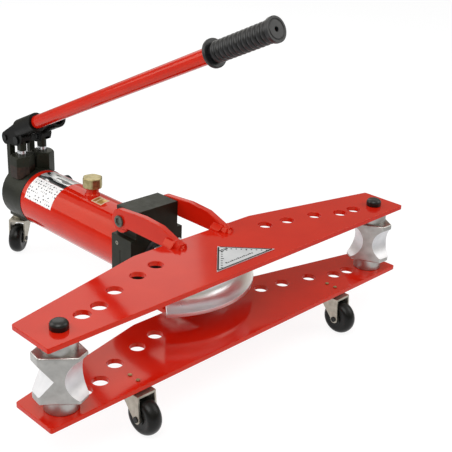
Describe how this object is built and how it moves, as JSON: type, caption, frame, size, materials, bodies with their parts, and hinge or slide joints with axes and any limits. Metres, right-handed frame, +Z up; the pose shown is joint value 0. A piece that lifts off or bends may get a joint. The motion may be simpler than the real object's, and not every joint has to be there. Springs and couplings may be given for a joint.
{
  "type": "hydraulic pipe bender",
  "caption": "Hand-pumped pipe bender on casters, with two wing plates, an arc-shaped former on a ram, grooved end rollers and a long pump handle.",
  "frame": {"origin": "middle of the whole outline in plan, on the floor under the wheels", "axes": "+X along the wing plates towards the release knob's side, +Y from the pipe back to the pump, +Z up"},
  "size_m": [0.672, 0.6278, 0.5104],
  "materials": {
    "red_enamel": "glossy sprayed red enamel on steel",
    "black_paint": "satin black paint on steel",
    "cast_aluminium": "satin, machined from a casting",
    "polished_aluminium": "polished",
    "zinc_steel": "bright zinc plate",
    "ground_steel": "ground bright steel",
    "dark_steel": "black oxide",
    "brass": "dull brass",
    "grip_rubber": "moulded black rubber",
    "seal_rubber": "smooth black rubber",
    "wheel_polymer": "moulded dark grey",
    "scale_white": "printed white film on thin sheet"
  },
  "bodies": {
    "frame": {"lower_wing_plate": "red_enamel", "upper_wing_plate": "red_enamel", "near_swing_arm": "red_enamel", "far_swing_arm": "red_enamel", "near_arm_bolt": "dark_steel", "far_arm_bolt": "dark_steel", "head_block": "black_paint", "head_set_screw": "zinc_steel", "left_block_screw": "dark_steel", "right_block_screw": "dark_steel", "oil_tank": "red_enamel", "pressure_cylinder": "ground_steel", "wiper_ring": "seal_rubber", "ram_return_spring": "dark_steel", "pump_body": "black_paint", "near_fulcrum_post": "black_paint", "far_fulcrum_post": "black_paint", "near_post_screw": "dark_steel", "far_post_screw": "dark_steel", "near_pump_gland": "black_paint", "far_pump_gland": "black_paint", "near_fulcrum_pin": "dark_steel", "far_fulcrum_pin": "dark_steel", "filler_neck": "red_enamel", "release_valve": "zinc_steel", "angle_scale_plate": "scale_white", "left_caster_plate": "zinc_steel", "right_caster_plate": "zinc_steel", "rear_caster_plate": "zinc_steel", "left_caster_front_screw": "zinc_steel", "left_caster_rear_screw": "zinc_steel", "right_caster_front_screw": "zinc_steel", "right_caster_rear_screw": "zinc_steel"},
    "ram": {"ram_rod": "ground_steel", "piston_seal": "seal_rubber", "former_pin": "zinc_steel"},
    "former": {"bending_former": "polished_aluminium"},
    "left_roller_body": {"left_roller": "cast_aluminium"},
    "right_roller_body": {"right_roller": "cast_aluminium"},
    "left_pin_body": {"left_roller_pin": "black_paint"},
    "right_pin_body": {"right_roller_pin": "black_paint"},
    "near_lever_body": {"near_lever": "black_paint"},
    "far_lever_body": {"far_lever": "black_paint"},
    "near_plunger_body": {"near_plunger": "ground_steel", "near_plunger_pin": "dark_steel"},
    "far_plunger_body": {"far_plunger": "ground_steel", "far_plunger_pin": "dark_steel"},
    "handle": {"handle_tube": "red_enamel", "handle_grip": "grip_rubber"},
    "filler_cap_body": {"filler_cap": "brass"},
    "release_knob_body": {"release_knob": "dark_steel"},
    "left_fork_body": {"left_caster_fork": "zinc_steel", "left_caster_axle": "zinc_steel"},
    "right_fork_body": {"right_caster_fork": "zinc_steel", "right_caster_axle": "zinc_steel"},
    "rear_fork_body": {"rear_caster_fork": "zinc_steel", "rear_caster_axle": "zinc_steel"},
    "left_wheel_body": {"left_caster_wheel": "wheel_polymer"},
    "right_wheel_body": {"right_caster_wheel": "wheel_polymer"},
    "rear_wheel_body": {"rear_caster_wheel": "wheel_polymer"}
  },
  "joints": [
    {"name": "ram_slide", "type": "slide", "parent": "frame", "child": "ram", "axis": [0, -1, 0], "range_m": [0, 0.17], "stiffness_N_per_m": 800, "springref_m": -0.03, "deforming": ["ram_return_spring"]},
    {"name": "former_swivel", "type": "hinge", "parent": "ram", "child": "former", "pos_m": [0, -0.12907, 0.1185], "axis": [0, 0, 1], "range_deg": [-11, 0]},
    {"name": "left_roller_turn", "type": "hinge", "parent": "frame", "child": "left_roller_body", "pos_m": [-0.3, -0.25406, 0.1215], "axis": [0, 0, 1], "continuous": true},
    {"name": "right_roller_turn", "type": "hinge", "parent": "frame", "child": "right_roller_body", "pos_m": [0.3, -0.25406, 0.1215], "axis": [0, 0, 1], "continuous": true},
    {"name": "left_pin_lift", "type": "slide", "parent": "frame", "child": "left_pin_body", "axis": [0, 0, 1], "range_m": [0, 0.13]},
    {"name": "right_pin_lift", "type": "slide", "parent": "frame", "child": "right_pin_body", "axis": [0, 0, 1], "range_m": [0, 0.13]},
    {"name": "near_lever_swing", "type": "hinge", "parent": "frame", "child": "near_lever_body", "pos_m": [-0.02, 0.28424, 0.2145], "axis": [-1, 0, 0], "range_deg": [-20, 15]},
    {"name": "far_lever_swing", "type": "hinge", "parent": "frame", "child": "far_lever_body", "pos_m": [0.02, 0.28424, 0.2145], "axis": [-1, 0, 0], "range_deg": [-20, 15]},
    {"name": "near_plunger_slide", "type": "slide", "parent": "frame", "child": "near_plunger_body", "axis": [0, 0, 1], "range_m": [-0.0125, 0.0095]},
    {"name": "far_plunger_slide", "type": "slide", "parent": "frame", "child": "far_plunger_body", "axis": [0, 0, 1], "range_m": [-0.0125, 0.0095]},
    {"name": "handle_pull", "type": "slide", "parent": "near_lever_body", "child": "handle", "axis": [0, -0.9076, 0.4199], "range_m": [0, 0.06]},
    {"name": "filler_cap_lift", "type": "slide", "parent": "frame", "child": "filler_cap_body", "axis": [0, 0, 1], "range_m": [0, 0.02]},
    {"name": "release_knob_turn", "type": "hinge", "parent": "frame", "child": "release_knob_body", "pos_m": [0.06, 0.23794, 0.1245], "axis": [1, 0, 0], "range_deg": [0, 270]},
    {"name": "left_caster_swivel", "type": "hinge", "parent": "frame", "child": "left_fork_body", "pos_m": [-0.197, -0.26306, 0.0565], "axis": [0, 0, 1], "continuous": true},
    {"name": "right_caster_swivel", "type": "hinge", "parent": "frame", "child": "right_fork_body", "pos_m": [0.197, -0.26306, 0.0565], "axis": [0, 0, 1], "continuous": true},
    {"name": "rear_caster_swivel", "type": "hinge", "parent": "frame", "child": "rear_fork_body", "pos_m": [0, 0.29294, 0.0565], "axis": [0, 0, 1], "continuous": true},
    {"name": "left_wheel_spin", "type": "hinge", "parent": "left_fork_body", "child": "left_wheel_body", "pos_m": [-0.197, -0.28507, 0.026], "axis": [1, 0, 0], "continuous": true},
    {"name": "right_wheel_spin", "type": "hinge", "parent": "right_fork_body", "child": "right_wheel_body", "pos_m": [0.197, -0.28507, 0.026], "axis": [1, 0, 0], "continuous": true},
    {"name": "rear_wheel_spin", "type": "hinge", "parent": "rear_fork_body", "child": "rear_wheel_body", "pos_m": [-0.01757, 0.2797, 0.026], "axis": [0.6018, -0.7986, 0], "continuous": true}
  ],
  "couplings": [
    {"joint": "near_plunger_slide", "follows": "near_lever_swing", "m_per_rad": 0.0355},
    {"joint": "far_plunger_slide", "follows": "far_lever_swing", "m_per_rad": 0.0355}
  ]
}
